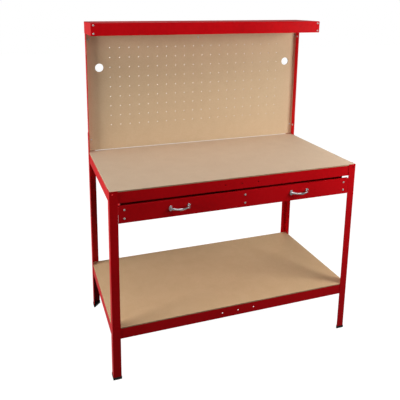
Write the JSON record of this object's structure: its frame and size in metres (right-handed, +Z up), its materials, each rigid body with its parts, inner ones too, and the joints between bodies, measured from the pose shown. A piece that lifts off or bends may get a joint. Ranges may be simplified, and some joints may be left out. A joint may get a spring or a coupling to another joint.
{
  "type": "workbench with drawer",
  "caption": "Steel-framed garage workbench: board worktop over one wide sliding drawer, open lower shelf, pegboard back and a narrow top shelf.",
  "frame": {"origin": "on the floor under the middle of the whole bench, handles included", "axes": "+X to the right seen from the front, +Y towards the pegboard, +Z up"},
  "size_m": [1.2, 0.63, 1.55],
  "materials": {
    "red_paint": "smooth red powder coat on folded sheet steel",
    "mdf_board": "bare medium-density fibreboard",
    "hardboard": "bare perforated hardboard",
    "black_plastic": "moulded black foot caps",
    "zinc_screws": "bright zinc-plated pan-head screws",
    "chrome": "polished chrome plate"
  },
  "bodies": {
    "frame": {"drawer_runner_left": "red_paint", "drawer_runner_right": "red_paint", "fascia_screw_lower_left": "zinc_screws", "fascia_screw_lower_right": "zinc_screws", "fascia_screw_upper_left": "zinc_screws", "fascia_screw_upper_right": "zinc_screws", "foot_cap_front_left": "black_plastic", "foot_cap_front_right": "black_plastic", "foot_cap_rear_left": "black_plastic", "foot_cap_rear_right": "black_plastic", "leg_front_left": "red_paint", "leg_front_right": "red_paint", "leg_rear_left": "red_paint", "leg_rear_right": "red_paint", "pegboard": "hardboard", "pegboard_rail": "red_paint", "pegboard_screw_low_left": "zinc_screws", "pegboard_screw_low_right": "zinc_screws", "pegboard_screw_top_left": "zinc_screws", "pegboard_screw_top_middle": "zinc_screws", "pegboard_screw_top_right": "zinc_screws", "post_left": "red_paint", "post_right": "red_paint", "shelf_beam_front": "red_paint", "shelf_beam_left": "red_paint", "shelf_beam_rear": "red_paint", "shelf_beam_right": "red_paint", "shelf_board": "mdf_board", "shelf_support_bar": "red_paint", "splice_bolt_left": "zinc_screws", "splice_bolt_right": "zinc_screws", "top_shelf_end_left": "red_paint", "top_shelf_end_right": "red_paint", "top_shelf_fascia": "red_paint", "top_shelf_panel": "red_paint", "worktop_beam_front": "red_paint", "worktop_beam_left": "red_paint", "worktop_beam_rear": "red_paint", "worktop_beam_right": "red_paint", "worktop_board": "mdf_board", "worktop_support_bar": "red_paint"},
    "drawer": {"drawer_back": "red_paint", "drawer_divider": "red_paint", "drawer_front": "red_paint", "drawer_screw_lower_left": "zinc_screws", "drawer_screw_lower_middle": "zinc_screws", "drawer_screw_lower_right": "zinc_screws", "drawer_screw_upper_left": "zinc_screws", "drawer_screw_upper_middle": "zinc_screws", "drawer_screw_upper_right": "zinc_screws", "drawer_side_left": "red_paint", "drawer_side_right": "red_paint", "drawer_tray_left": "red_paint", "drawer_tray_right": "red_paint", "handle_left": "chrome", "handle_right": "chrome"}
  },
  "joints": [
    {"name": "drawer_slide", "type": "slide", "parent": "frame", "child": "drawer", "axis": [0, -1, 0], "range_m": [0, 0.34]}
  ]
}
